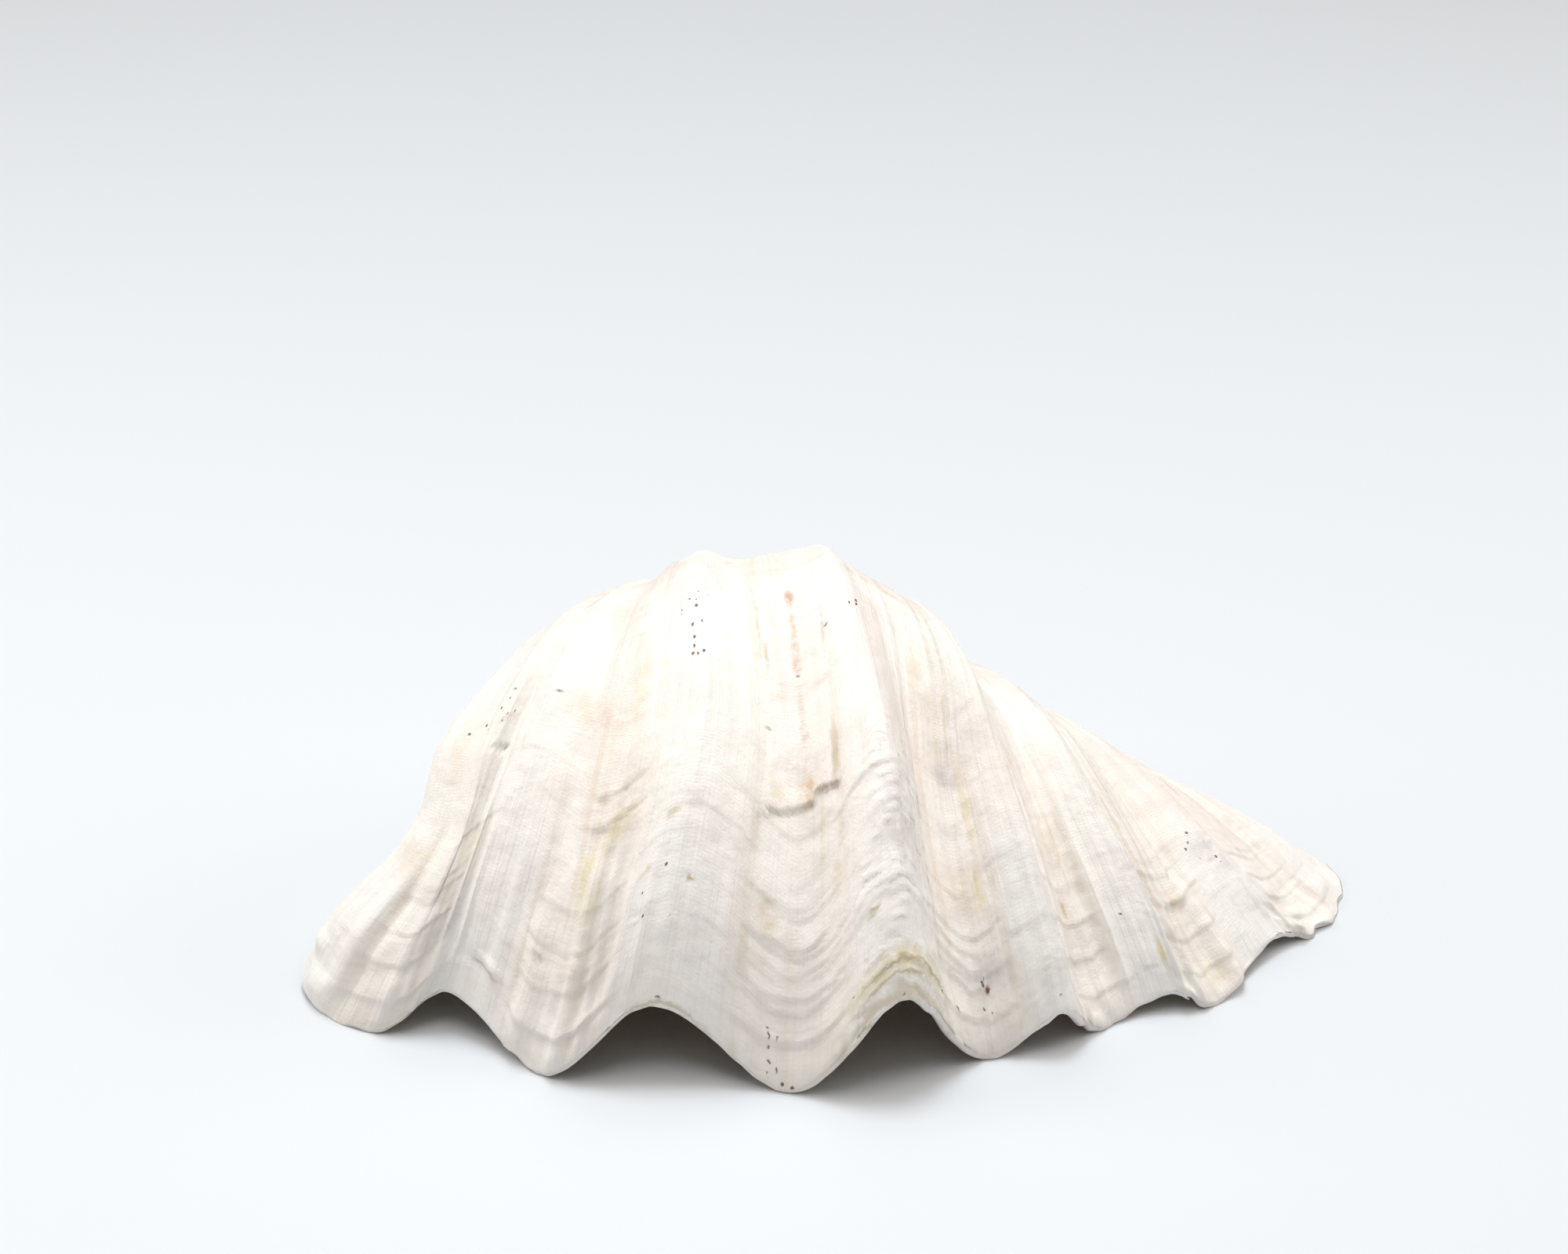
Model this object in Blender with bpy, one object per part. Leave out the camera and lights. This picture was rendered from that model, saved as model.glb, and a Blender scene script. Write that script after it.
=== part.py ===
"""One valve of a giant clam, lying hollow side down on its scalloped edge.

A clam grows by adding shell along its edge, and it keeps its shape while it does so. Each older
edge is today's edge made smaller and turned about an axis through the beak. The outer face is
built from that rule: one closed line for today's edge, swept back to the beak. The inner face
is the same sweep, moved in by the wall's thickness, with its ribs faded and its end rounded off.

Lengths are in millimetres up to the last step, which writes the mesh in metres.
"""
import bpy
import bmesh
import numpy as np

METRES_PER_MM = 0.001

# Today's edge, from the short end round the front to the long end. Each point is (along X, along
# Y, height). A rib ends in an arch that stands clear of the ground, and the groove beside it ends
# in a rounded tongue that rests on it.
RIB_ENDS = [(-118, 42.5, 3), (-80, 24, 10.5), (-31, 5.5, 20.5), (25.5, 0, 26.5),
            (63.5, 15, 11.5), (90, 31, 5), (119, 55, 4.5), (139, 86, 2)]
GROOVE_ENDS = [(-97, 23, 0), (-57, 6.5, 0), (0, 0, 0), (46, 12.5, 0),
               (73, 23.5, 0), (101, 33, 0), (129.5, 61.5, 0)]
BYSSAL_EDGE = (61, 104, 10)
HINGE_EDGE = (-16, 126, 0)
SHORT_BACK_EDGE = (-65, 95, 3.5)

# The growth rule: where the beak's axis is, how far it turns, and how fast the edge shrinks.
BEAK = np.array([-16.5, 114.0, 31.5])
AXIS_YAW = np.radians(-1.8)
AXIS_TILT = np.radians(-5.8)
FULL_TURN = 3.45
DRAWN_TURN = 3.2
SHRINK_ACROSS = (0.36, 0.04, 0.11)
SHRINK_ALONG = (0.38, 0.02, -0.02)
HALF_LENGTH = 125.0
BEAK_DROP = 14.0
BEAK_DROP_START = 1.6
STRAIGHT_SHRINK = 1.3

# Where the ribs swell, as shares of the distance from the beak: the way round, its reach, the
# age, its reach, and the share. The flanks of every rib are drawn in a little by the hollow.
SWELLS = [(2.0, 1.6, 1.3, 0.7, 0.03), (4.0, 1.4, 1.4, 0.7, 0.015), (5.2, 1.0, 1.4, 0.7, 0.085),
          (6.0, 1.2, 1.4, 0.7, 0.065), (7.2, 1.2, 1.3, 0.7, 0.2), (8.2, 1.2, 1.2, 0.6, 0.11),
          (10.0, 1.4, 1.0, 0.5, 0.03), (14.0, 2.0, 0.6, 0.5, 0.035)]
FLANK_HOLLOW = 0.022
FLANK_HOLLOW_AGES = (0.05, 0.5)

# Where the ribs lean along the shell: the way round, its reach, the age, its reach, and how far.
LEANS = [(0.0, 1.6, 0.5, 0.32, 6.5), (2.0, 2.0, 0.8, 0.8, -2.0), (4.0, 1.6, 0.7, 0.7, 2.5),
         (4.0, 1.6, 1.4, 0.8, -5.5), (6.0, 1.4, 1.35, 0.8, -3.0), (8.0, 1.6, 1.3, 0.7, -8.0)]

# The ribs were lower when the shell was young: how much of their height was missing, and when.
YOUNG_RIBS_MISSING = 0.8
RIBS_FULL_AGE = 0.25
RIBS_YOUNG_AGE = 1.4

# The wall.
LIP_THICKNESS = 2.6
CROWN_THICKNESS = 8.0
HINGE_THICKNESS = 9.0
HINGE_FADE = (0.25, 1.3)
WALL_FULL_DEPTH = 0.8
RIBS_GONE_DEPTH = 0.5
TO_MIDDLE_DEPTH = 0.4
CAVITY_TURN = 1.9
CAVITY_BLUNTNESS = 4
SLANT_LIMIT = 0.45

# The rounded lip, as angles from the outer face to the inner face. Along the hinge it is a flat
# plate instead, with a socket and a long tooth: shares of the thickness, and heights.
LIP_ANGLES = (10, 50, 90, 120, 150, 172)
PLATE_SHARES = (0.02, 0.12, 0.5, 0.66, 0.84, 0.98)
PLATE_HEIGHTS = (1.2, 0.0, 0.0, 0.0, 0.0, 1.4)
SOCKET_RING = 3
SOCKET_DEPTH = 2.6
SOCKET_MIDDLE = 0.55
SOCKET_REACH = 0.6

# Growth ledges, where the shell once stopped growing: how far back, how high, how long its ramp.
LEDGES = [(0.22, 0.5, 0.1), (0.60, 0.8, 0.14), (1.25, 0.7, 0.2)]

# How finely the solid is cut.
STEPS_PER_HALF_RIB = 5
STEPS_PER_BACK_STRETCH = 9
OUTER_ROWS = 20
OUTER_ROW_CROWDING = 0.92
INNER_ROWS = 12
LEDGE_STEP = 0.012
LEDGE_CLEARANCE = 0.05
SLOPE_STEP = 1e-3
POINTS_AVERAGED = 9


class ClosedSpline:
    """A closed curve through given points that bends evenly; whole numbers land on the points."""

    def __init__(self, points):
        self.points = np.array(points, dtype=float)
        self.count = len(self.points)
        ahead = np.roll(self.points, -1, axis=0)
        self.spans = np.sqrt(np.linalg.norm(ahead - self.points, axis=1))
        self.bends = self.solve_bends(ahead)

    def solve_bends(self, ahead):
        """Second derivatives at the points, from the condition that slopes meet."""
        before = np.roll(self.spans, 1)
        rise = (ahead - self.points) / self.spans[:, None]
        system = np.diag(2 * (before + self.spans))
        for i in range(self.count):
            system[i, (i + 1) % self.count] += self.spans[i]
            system[i, (i - 1) % self.count] += before[i]
        return np.linalg.solve(system, 6 * (rise - np.roll(rise, 1, axis=0)))

    def __call__(self, way):
        way = np.asarray(way) % self.count
        first = np.minimum(way.astype(int), self.count - 1)
        second = (first + 1) % self.count
        span = self.spans[first][..., None]
        b = (way - first)[..., None]
        a = 1 - b
        bend = (a ** 3 - a) * self.bends[first] + (b ** 3 - b) * self.bends[second]
        return a * self.points[first] + b * self.points[second] + bend * span ** 2 / 6


def edge_points():
    """Rib ends and groove ends in turn along the front, then the three points of the back."""
    points = [RIB_ENDS[0]]
    for groove, rib in zip(GROOVE_ENDS, RIB_ENDS[1:]):
        points += [groove, rib]
    return points + [BYSSAL_EDGE, HINGE_EDGE, SHORT_BACK_EDGE]


EDGE_POINTS = edge_points()
WAY_TO_LONG_END = 2 * len(GROOVE_ENDS)
WAY_TO_HINGE = WAY_TO_LONG_END + 2
WAY_ROUND = len(EDGE_POINTS)
todays_edge = ClosedSpline(EDGE_POINTS)


def smoothstep(low, high, value):
    t = np.clip((value - low) / (high - low), 0, 1)
    return t * t * (3 - 2 * t)


def axis_direction():
    return np.array([np.cos(AXIS_YAW) * np.cos(AXIS_TILT),
                     np.sin(AXIS_YAW) * np.cos(AXIS_TILT),
                     np.sin(AXIS_TILT)])


AXIS = axis_direction()
BEAK_TIP = BEAK - np.array([0, 0, BEAK_DROP])


def turned(vectors, angle):
    """The vectors, at right angles to the axis, turned about it."""
    cosine, sine = np.cos(angle)[..., None], np.sin(angle)[..., None]
    return vectors * cosine + np.cross(AXIS, vectors) * sine


def grown_back(edge, age):
    """Where a point of today's edge was at an older stage. Age runs from 0 to FULL_TURN."""
    out = edge - BEAK
    along = out @ AXIS
    across = out - along[..., None] * AXIS
    place = along / HALF_LENGTH
    left = 1 - age / FULL_TURN
    rate_across = np.polyval(SHRINK_ACROSS[::-1], place)
    rate_along = np.polyval(SHRINK_ALONG[::-1], place)
    size_across = left ** (rate_across * FULL_TURN)
    size_along = left ** (rate_along * FULL_TURN)
    swept = BEAK + size_across[..., None] * turned(across, -age)
    swept = swept + (size_along * along)[..., None] * AXIS
    drop = BEAK_DROP * smoothstep(BEAK_DROP_START, FULL_TURN, age)
    return swept - drop[..., None] * np.array([0, 0, 1.0])


def near_hinge(way):
    """1 along the hinge, fading to 0 towards both ends of the back edge."""
    off = np.abs(way - WAY_TO_HINGE)
    return 1 - smoothstep(*HINGE_FADE, off)


def bell(offset):
    """1 in the middle, 0 from one unit away, smooth all along."""
    return (1 - np.clip(np.abs(offset), 0, 1) ** 2) ** 2


def sum_of_bells(way, age, bells):
    """The sum of soft bumps, each with its own place, reach and height."""
    total = 0
    for middle, reach, old, age_reach, height in bells:
        off = (way - middle + WAY_ROUND / 2) % WAY_ROUND - WAY_ROUND / 2
        total = total + height * bell(off / reach) * bell((age - old) / age_reach)
    return total


def swell(way, age):
    """How far the flanks stand out or draw in, as a share of the distance from the beak."""
    hollow = FLANK_HOLLOW * np.sin(np.pi * way) ** 2 * on_ribs(way)
    hollow = hollow * smoothstep(*FLANK_HOLLOW_AGES, age)
    return sum_of_bells(way, age, SWELLS) - hollow


def on_ribs(way):
    """1 along the scalloped front edge, 0 along the back edge."""
    way = way % WAY_ROUND
    return np.where(way < WAY_TO_LONG_END, 1.0, 0.0)


def outer_face(way, age, calm=0.0):
    """The outer face. Near the hinge it is drawn straight from the edge to the beak."""
    missing = YOUNG_RIBS_MISSING * smoothstep(RIBS_FULL_AGE, RIBS_YOUNG_AGE, age)
    missing = np.maximum(missing, calm) * np.ones_like(way)
    edge = todays_edge(way)
    edge = edge + (calm_edge(way) - edge) * missing[..., None]
    swept = grown_back(edge, age)
    swept = swept + (swept - BEAK) * (swell(way, age) * (1 - calm))[..., None]
    swept = swept + AXIS * (sum_of_bells(way, age, LEANS) * (1 - calm))[..., None]
    straight = edge + (BEAK_TIP - edge) * (1 - (1 - age / FULL_TURN) ** STRAIGHT_SHRINK)[..., None]
    share = near_hinge(way)[..., None]
    return swept + (straight - swept) * share


def calm_edge(way):
    """Today's edge with its ribs smoothed away: each point averaged over a whole rib."""
    reach = np.linspace(-1, 1, POINTS_AVERAGED)
    weights = 1 + np.cos(np.pi * reach)
    total = 0
    for step, weight in zip(reach, weights / weights.sum()):
        total = total + weight * todays_edge(way + step)
    return total


def frame_at(way, age, calm=0.0):
    """The face's point, its outward normal, and the direction of growth past the edge."""
    here = outer_face(way, age, calm)
    ahead = outer_face(way + SLOPE_STEP, age, calm)
    behind = outer_face(way - SLOPE_STEP, age, calm)
    sideways = ahead - behind
    older = outer_face(way, age + SLOPE_STEP, calm) - here
    normal = np.cross(sideways, older)
    normal /= np.linalg.norm(normal, axis=-1, keepdims=True)
    forward = np.cross(sideways, normal)
    forward /= np.linalg.norm(forward, axis=-1, keepdims=True)
    return here, normal, forward


def ledge_height(age):
    """How far each growth ledge stands out: it ramps up with growth, then drops at the halt."""
    total = 0
    for halt, height, ramp in LEDGES:
        if age >= halt:
            total += height * np.exp((halt - age) / ramp)
    return total


def outer_rows():
    """Ages of the rings on the outer face, with a close pair at each growth halt."""
    even = DRAWN_TURN * np.linspace(0, 1, OUTER_ROWS + 1)[1:-1] ** OUTER_ROW_CROWDING
    halts = np.array([halt for halt, _, _ in LEDGES])
    pairs = [*halts, *(halts - LEDGE_STEP)]
    spaced = [age for age in even if np.abs(halts - age).min() > LEDGE_CLEARANCE]
    return np.array(sorted(spaced + pairs))


def column_ways():
    """Ways round the edge where the rings have their corners."""
    front = np.linspace(0, WAY_TO_LONG_END, WAY_TO_LONG_END * STEPS_PER_HALF_RIB + 1)[:-1]
    stretches = WAY_ROUND - WAY_TO_LONG_END
    back = np.linspace(WAY_TO_LONG_END, WAY_ROUND, stretches * STEPS_PER_BACK_STRETCH + 1)
    return np.concatenate([front, back[:-1]])


def outer_rings(ways):
    rings = []
    for age in outer_rows():
        ages = np.full_like(ways, age)
        here, normal, _ = frame_at(ways, ages)
        share = ledge_height(age) * (1 - near_hinge(ways))
        rings.append(here + normal * share[:, None])
    return rings


def lip_rings(ways):
    """The rounded lip, which turns into the flat plate of the hinge."""
    ages = np.zeros_like(ways)
    here, normal, forward = frame_at(ways, ages)
    hinge = near_hinge(ways)[:, None]
    wall = level_towards_hinge(normal, ways)
    thickness = wall_thickness(ways, 0.0)[:, None]
    socket = SOCKET_DEPTH * bell((ways - WAY_TO_HINGE - SOCKET_MIDDLE) / SOCKET_REACH)[:, None]
    upward = np.array([0, 0, 1.0])
    rings = []
    for ring, degrees in enumerate(LIP_ANGLES):
        angle = np.radians(degrees)
        back = thickness / 2 * (1 - np.sin(angle)) * (1 - hinge)
        inward = (1 - np.cos(angle)) / 2
        inward = thickness * (inward + (PLATE_SHARES[ring] - inward) * hinge)
        rise = PLATE_HEIGHTS[ring] + (socket if ring == SOCKET_RING else 0)
        rings.append(here - forward * back - wall * inward + upward * rise * hinge)
    return rings


def level_towards_hinge(normal, ways):
    """The normals, laid level along the hinge so that its plate is flat."""
    share = near_hinge(ways)[:, None]
    leaning = normal * (1 - share * np.array([0, 0, 1.0]))
    return leaning / np.linalg.norm(leaning, axis=-1, keepdims=True)


def wall_thickness(ways, depth):
    """Thin at the lip, thick under the crown and all along the hinge."""
    body = LIP_THICKNESS + (CROWN_THICKNESS - LIP_THICKNESS) * smoothstep(0, WALL_FULL_DEPTH, depth)
    hinge = HINGE_THICKNESS + (CROWN_THICKNESS - HINGE_THICKNESS) * depth
    share = near_hinge(ways)
    return body + (hinge - body) * share


def inner_rings(ways):
    """The inner face: the sweep moved in by the wall, its ribs fading, its end rounded off."""
    rings = []
    for depth in np.linspace(0, 1, INNER_ROWS + 1)[1:-1]:
        ages = np.full_like(ways, CAVITY_TURN * depth)
        here, normal, _ = frame_at(ways, ages, smoothstep(0, RIBS_GONE_DEPTH, depth))
        normal = level_towards_hinge(normal, ways)
        middle = here.mean(axis=0)
        outward = here - middle
        outward /= np.linalg.norm(outward, axis=-1, keepdims=True)
        facing = np.maximum((outward * normal).sum(axis=-1, keepdims=True), SLANT_LIMIT)
        to_middle = smoothstep(0, TO_MIDDLE_DEPTH, depth)
        inward = normal + (outward / facing - normal) * to_middle
        wall = here - inward * wall_thickness(ways, depth)[:, None]
        pinch = np.sqrt(1 - depth ** CAVITY_BLUNTNESS)
        rings.append(middle + (wall - middle) * pinch)
    return rings


def stitch(rings, start_tip, end_tip):
    """Faces between neighbouring rings, and a fan over each end."""
    count = len(rings[0])
    points = [start_tip, *np.concatenate(rings), end_tip]
    last = len(points) - 1
    after = [(i + 1) % count for i in range(count)]
    faces = [(0, 1 + i, 1 + after[i]) for i in range(count)]
    for ring in range(len(rings) - 1):
        near, far = 1 + ring * count, 1 + (ring + 1) * count
        faces += [(near + i, far + i, far + after[i], near + after[i]) for i in range(count)]
    near = 1 + (len(rings) - 1) * count
    faces += [(last, near + after[i], near + i) for i in range(count)]
    return points, faces


def shell_material():
    material = bpy.data.materials.new("shell_lime")
    material.use_nodes = True
    shader = material.node_tree.nodes["Principled BSDF"]
    shader.inputs["Base Color"].default_value = (0.82, 0.78, 0.73, 1)
    shader.inputs["Roughness"].default_value = 0.5
    shader.inputs["Metallic"].default_value = 0.0
    return material


def build_valve():
    ways = column_ways()
    rings = outer_rings(ways)[::-1] + lip_rings(ways) + inner_rings(ways)
    cavity_end = rings[-1].mean(axis=0)
    points, faces = stitch(rings, BEAK_TIP, cavity_end)
    points = np.array(points)
    points[:, 2] = np.maximum(points[:, 2], 0)
    middle = (points.min(axis=0) + points.max(axis=0)) / 2
    points -= (middle[0], middle[1], 0)
    mesh = bpy.data.meshes.new("valve")
    mesh.from_pydata((points * METRES_PER_MM).tolist(), [], faces)
    mesh.materials.append(shell_material())
    form = bmesh.new()
    form.from_mesh(mesh)
    bmesh.ops.triangulate(form, faces=form.faces)
    form.to_mesh(mesh)
    form.free()
    mesh.shade_smooth()
    valve = bpy.data.objects.new("valve", mesh)
    bpy.context.scene.collection.objects.link(valve)
    return valve


for old in list(bpy.data.objects):
    bpy.data.objects.remove(old)
build_valve()
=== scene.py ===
# %% [markdown]
# # One valve of a giant clam
# A clam's shell is two valves, and this is one of them, lying hollow side down on its scalloped
# edge. It grew as one piece of lime, so it is one object here too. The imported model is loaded
# first: it says where the shell is and how big, and the fine surface is grown around that.

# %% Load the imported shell
import math
from functools import reduce

import bpy
import numpy as np
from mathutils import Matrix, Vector


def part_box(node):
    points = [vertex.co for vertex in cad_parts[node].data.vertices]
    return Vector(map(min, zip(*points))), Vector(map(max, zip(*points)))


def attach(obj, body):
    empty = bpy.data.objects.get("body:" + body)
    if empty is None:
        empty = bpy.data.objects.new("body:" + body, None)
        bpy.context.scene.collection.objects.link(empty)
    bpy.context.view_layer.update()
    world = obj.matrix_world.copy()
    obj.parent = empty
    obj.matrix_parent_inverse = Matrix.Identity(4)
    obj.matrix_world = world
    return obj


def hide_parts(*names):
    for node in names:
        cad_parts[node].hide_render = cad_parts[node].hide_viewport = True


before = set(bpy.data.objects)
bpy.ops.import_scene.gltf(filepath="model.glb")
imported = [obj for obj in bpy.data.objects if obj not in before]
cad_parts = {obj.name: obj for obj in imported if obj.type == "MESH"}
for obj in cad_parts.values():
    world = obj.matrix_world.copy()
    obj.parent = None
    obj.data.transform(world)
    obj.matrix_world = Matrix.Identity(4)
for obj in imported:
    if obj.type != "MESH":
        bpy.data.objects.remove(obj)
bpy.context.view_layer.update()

# %% [markdown]
# ## Camera and light
# The shell stands on a plain pale table under soft, bright light from above and a little behind,
# so its lower front is the shaded side. Large area lamps give the soft edges of such light.
# The camera looks down at 30 degrees through a 72 mm lens.

# %% Camera, table and lamps
scene = bpy.context.scene
scene.view_settings.view_transform = "Standard"

camera_data = bpy.data.cameras.new("camera")
camera_data.lens = 72
camera_data.sensor_width = 36
camera = bpy.data.objects.new("camera", camera_data)
camera.location = (-0.0124, -0.6340, 0.4532)
camera.rotation_euler = (math.radians(60), 0, 0)
scene.collection.objects.link(camera)
scene.camera = camera


def plain_material(name, colour, roughness):
    material = bpy.data.materials.new(name)
    material.use_nodes = True
    shader = material.node_tree.nodes["Principled BSDF"]
    shader.inputs["Base Color"].default_value = (*colour, 1)
    shader.inputs["Roughness"].default_value = roughness
    return material


def table_top(half_width):
    mesh = bpy.data.meshes.new("table")
    corners = [(-1, -1), (1, -1), (1, 1), (-1, 1)]
    mesh.from_pydata([(x * half_width, y * half_width, 0) for x, y in corners], [], [(0, 1, 2, 3)])
    mesh.materials.append(plain_material("pale_table", (0.675, 0.71, 0.755), 0.7))
    table = bpy.data.objects.new("table", mesh)
    scene.collection.objects.link(table)


def area_lamp(name, place, aim, size, watts, colour):
    data = bpy.data.lights.new(name, "AREA")
    data.shape = "DISK"
    data.size = size
    data.energy = watts
    data.color = colour
    lamp = bpy.data.objects.new(name, data)
    lamp.location = place
    lamp.rotation_euler = (Vector(aim) - Vector(place)).to_track_quat("-Z", "Y").to_euler()
    scene.collection.objects.link(lamp)


table_top(6)
area_lamp("overhead", (-0.08, 0.26, 1.6), (-0.02, 0.02, 0), 0.6, 12.5, (0.9, 0.95, 1))
area_lamp("left_lamp", (-0.85, 0.10, 0.65), (0, 0, 0.03), 0.6, 3.0, (1, 0.95, 0.89))
area_lamp("right_lamp", (0.85, 0.10, 0.65), (0, 0, 0.03), 0.6, 2.6, (1, 0.95, 0.89))
area_lamp("front_lamp", (-0.1, -0.32, 1.25), (0, 0, 0.03), 0.6, 4.2, (1, 0.97, 0.93))

# %% [markdown]
# ## A way to write node trees as sums
# A node tree is a drawing of a sum. This small class wraps a socket, so that a sum can be written
# as Python instead: each operator adds one Math node, or one Vector Math node where one of its
# terms is a vector. Every other kind of node is made by Graph.add, settings first, sockets after.

# %% Values and graphs
SCALAR_RESULTS = ("DOT_PRODUCT", "LENGTH")


class Value:
    """A socket that can stand in a sum."""

    def __init__(self, graph, socket):
        self.graph = graph
        self.socket = socket

    def to(self, operation, *terms):
        return self.graph.maths(operation, self, *terms)

    def __add__(self, other):
        return self.to("ADD", other)

    def __radd__(self, other):
        return self.to("ADD", other)

    def __sub__(self, other):
        return self.to("SUBTRACT", other)

    def __rsub__(self, other):
        return self.graph.maths("SUBTRACT", other, self)

    def __mul__(self, other):
        return self.to("MULTIPLY", other)

    def __rmul__(self, other):
        return self.to("MULTIPLY", other)

    def __truediv__(self, other):
        return self.to("DIVIDE", other)

    def __rtruediv__(self, other):
        return self.graph.maths("DIVIDE", other, self)

    def __pow__(self, power):
        return self.to("POWER", power)

    def __abs__(self):
        return self.to("ABSOLUTE")

    def sibling(self, name):
        """Another output of the same node."""
        return Value(self.graph, self.socket.node.outputs[name])

    def smooth(self, low, high):
        """0 below low, 1 above high, and an S curve between. It falls where high is below low."""
        ends = {"Value": self, "From Min": low, "From Max": high}
        return self.graph.add("ShaderNodeMapRange", {"interpolation_type": "SMOOTHSTEP"}, ends)

    def bell(self):
        """1 where the value is 0, and 0 from 1 away on."""
        rest = 1 - (self * self).to("MINIMUM", 1)
        return rest * rest


class Graph:
    """A node tree that is written as sums."""

    def __init__(self, tree):
        self.tree = tree

    def plug(self, socket, term):
        if isinstance(term, Value):
            self.tree.links.new(term.socket, socket)
        elif socket.type == "VECTOR" and isinstance(term, (int, float)):
            socket.default_value = (term, term, term)
        elif socket.type == "RGBA":
            socket.default_value = (*term, 1)
        else:
            socket.default_value = term

    def maths(self, operation, *terms):
        vectors = [isinstance(term, (tuple, Vector)) for term in terms]
        vectors += [isinstance(term, Value) and term.socket.type == "VECTOR" for term in terms]
        kind = "ShaderNodeVectorMath" if any(vectors) else "ShaderNodeMath"
        output = "Value" if not any(vectors) or operation in SCALAR_RESULTS else "Vector"
        return self.add(kind, {"operation": operation}, dict(enumerate(terms)), output)

    def add(self, kind, settings, sockets, output=0):
        node = self.tree.nodes.new(kind)
        for name, value in settings.items():
            setattr(node, name, value)
        for name, term in sockets.items():
            self.plug(node.inputs[name], term)
        return Value(self, node.outputs[output])

    def vector(self, x, y, z):
        return self.add("ShaderNodeCombineXYZ", {}, {"X": x, "Y": y, "Z": z})

    def mixed(self, share, first, second):
        """Two colours, mixed by a share of the second."""
        return self.add("ShaderNodeMix", {"data_type": "RGBA"}, {0: share, 6: first, 7: second}, 2)

    def noise(self, place, scale, detail=2.0, roughness=0.5):
        sockets = {"Vector": place, "Scale": scale, "Detail": detail, "Roughness": roughness}
        return self.add("ShaderNodeTexNoise", {}, sockets)


def new_group(name, inputs, outputs, kind="GeometryNodeTree"):
    """An empty node group with named sockets, as a graph, its inputs and its end."""
    tree = bpy.data.node_groups.new(name, kind)
    for side, sockets in (("INPUT", inputs), ("OUTPUT", outputs)):
        for label, kind in sockets.items():
            tree.interface.new_socket(name=label, in_out=side, socket_type="NodeSocket" + kind)
    graph = Graph(tree)
    start = tree.nodes.new("NodeGroupInput")
    given = {label: Value(graph, start.outputs[label]) for label in inputs}
    return graph, given, tree.nodes.new("NodeGroupOutput")


def formula_group(formula, labels, kind="GeometryNodeTree"):
    """A node group that works out one formula of (way, age, and the numbers under the labels)."""
    labels = ("Way", "Age") + labels
    graph, given, end = new_group(formula.__name__, {label: "Float" for label in labels}, {"Amount": "Float"}, kind)
    graph.plug(end.inputs["Amount"], formula(*given.values()))
    return graph.tree


def for_each_row(group, way, age, rows):
    """One node for each row of numbers, all with the same formula inside."""
    node = group.bl_idname.replace("Tree", "Group")
    return [way.graph.add(node, {"node_tree": group}, dict(enumerate((way, age, *row)))) for row in rows]


# %% [markdown]
# ## The room's light
# The rest of the light comes from the room, as if from a white ceiling: bright overhead, dim and
# warm towards the floor. So little of it gets in under the arches, where the shell's hollow stays
# dark; its brown is the tan inside, painted partly as shade. The shadow on the table is wide and soft.

# %% Sky
WALL_COLOUR = (1.0, 0.66, 0.40)
CEILING_COLOUR = (1.0, 0.95, 0.87)
SKY_LOW, SKY_HIGH = 0.10, 0.66


def sky():
    world = bpy.data.worlds.new("studio")
    world.use_nodes = True
    graph = Graph(world.node_tree)
    background = world.node_tree.nodes["Background"]
    direction = graph.add("ShaderNodeTexCoord", {}, {}, "Generated")
    up = graph.add("ShaderNodeSeparateXYZ", {}, {"Vector": direction}, "Z")
    graph.plug(background.inputs["Color"], graph.mixed(up.smooth(0.1, 0.7), WALL_COLOUR, CEILING_COLOUR))
    graph.plug(background.inputs["Strength"], SKY_LOW + up.smooth(0.2, 1) * (SKY_HIGH - SKY_LOW))
    scene.world = world


sky()
print("sky:", SKY_LOW, "at the horizon to", SKY_HIGH, "overhead")

# %% [markdown]
# ## Today's edge
# The edge of the shell is a scalloped line. Each rib ends in an arch, and each groove between two
# ribs ends in a rounded tongue, which is what the shell stands on. It is drawn as one closed
# curve through those ends: the way along it is a number, even on a rib and odd in a groove, from
# the short end (0) round the front to the long end (14), and on to the hinge at 16. A way of -2 is
# the hinge again. A cubic spline keeps its bend even where a rib turns into a groove.

# %% The scalloped line, in millimetres
RIB_ENDS = [(-118, 42.5, 3), (-80, 24, 10.5), (-31, 5.5, 20.5), (25.5, 0, 26.5),
            (63.5, 15, 11.5), (90, 31, 5), (119, 55, 4.5), (139, 86, 2)]
GROOVE_ENDS = [(-97, 23, 0), (-57, 6.5, 0), (0, 0, 0), (46, 12.5, 0),
               (73, 23.5, 0), (101, 33, 0), (129.5, 61.5, 0)]
BYSSAL_EDGE = (61, 104, 10)
HINGE_EDGE = (-16, 126, 0)
SHORT_BACK_EDGE = (-65, 95, 3.5)
LONG_END_WAY = 2 * len(GROOVE_ENDS)
HINGE_WAY = LONG_END_WAY + 2


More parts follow.
